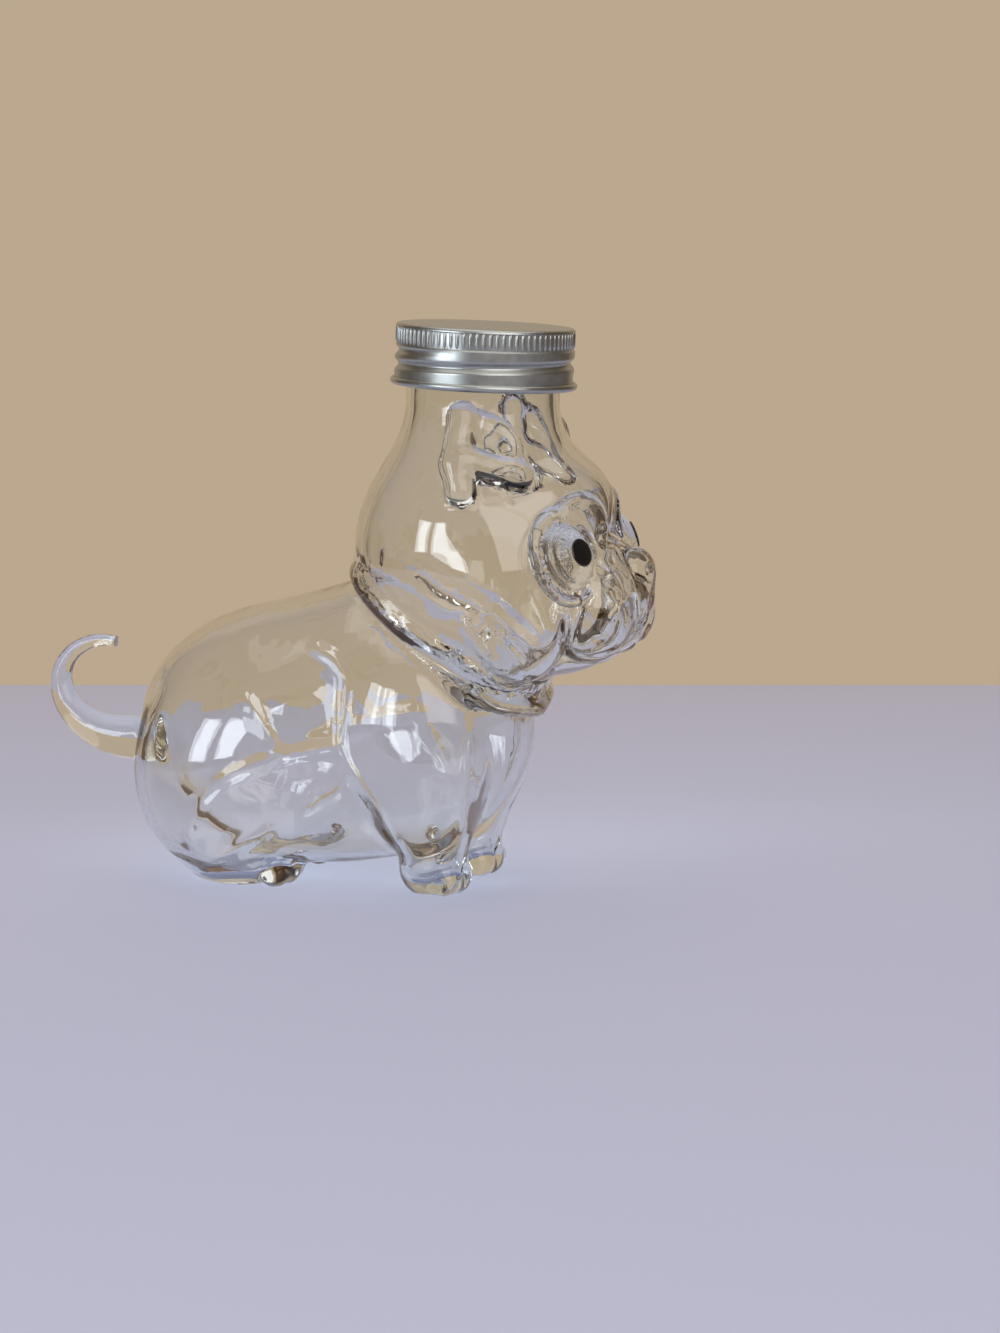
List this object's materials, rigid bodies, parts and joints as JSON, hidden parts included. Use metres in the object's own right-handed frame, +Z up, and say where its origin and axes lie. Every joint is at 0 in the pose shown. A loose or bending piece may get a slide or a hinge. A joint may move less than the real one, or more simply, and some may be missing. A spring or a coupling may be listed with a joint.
{
  "type": "animal-shaped glass jar",
  "caption": "Clear glass jar blown as a short-nosed dog with a curled tail, closed by a knurled aluminium screw lid on its head.",
  "frame": {"origin": "middle of the whole jar's bounding box, on the surface that its four paws stand on", "axes": "+X the way the dog looks, +Y the dog's left, +Z up"},
  "size_m": [0.1958, 0.0814, 0.1694],
  "materials": {
    "glass": "clear, fire-polished",
    "aluminium": "satin, rolled",
    "liner_foam": "matte",
    "enamel": "gloss"
  },
  "bodies": {
    "jar": {"jar_body": "glass", "tail": "glass", "ear_left": "glass", "ear_right": "glass", "pupil_left": "enamel", "pupil_right": "enamel"},
    "liner": {"lid_liner": "liner_foam"},
    "lid": {"lid_shell": "aluminium"}
  },
  "joints": [
    {"name": "lid_rise", "type": "slide", "parent": "jar", "child": "liner", "axis": [0.0436, 0, 0.999], "range_m": [0, 0.0255]},
    {"name": "lid_turn", "type": "hinge", "parent": "liner", "child": "lid", "pos_m": [0.04433, 0, 0.145], "axis": [0.0436, 0, 0.999], "range_deg": [0, 2160]}
  ],
  "couplings": [
    {"joint": "lid_rise", "follows": "lid_turn", "m_per_rad": 0.0006737}
  ]
}
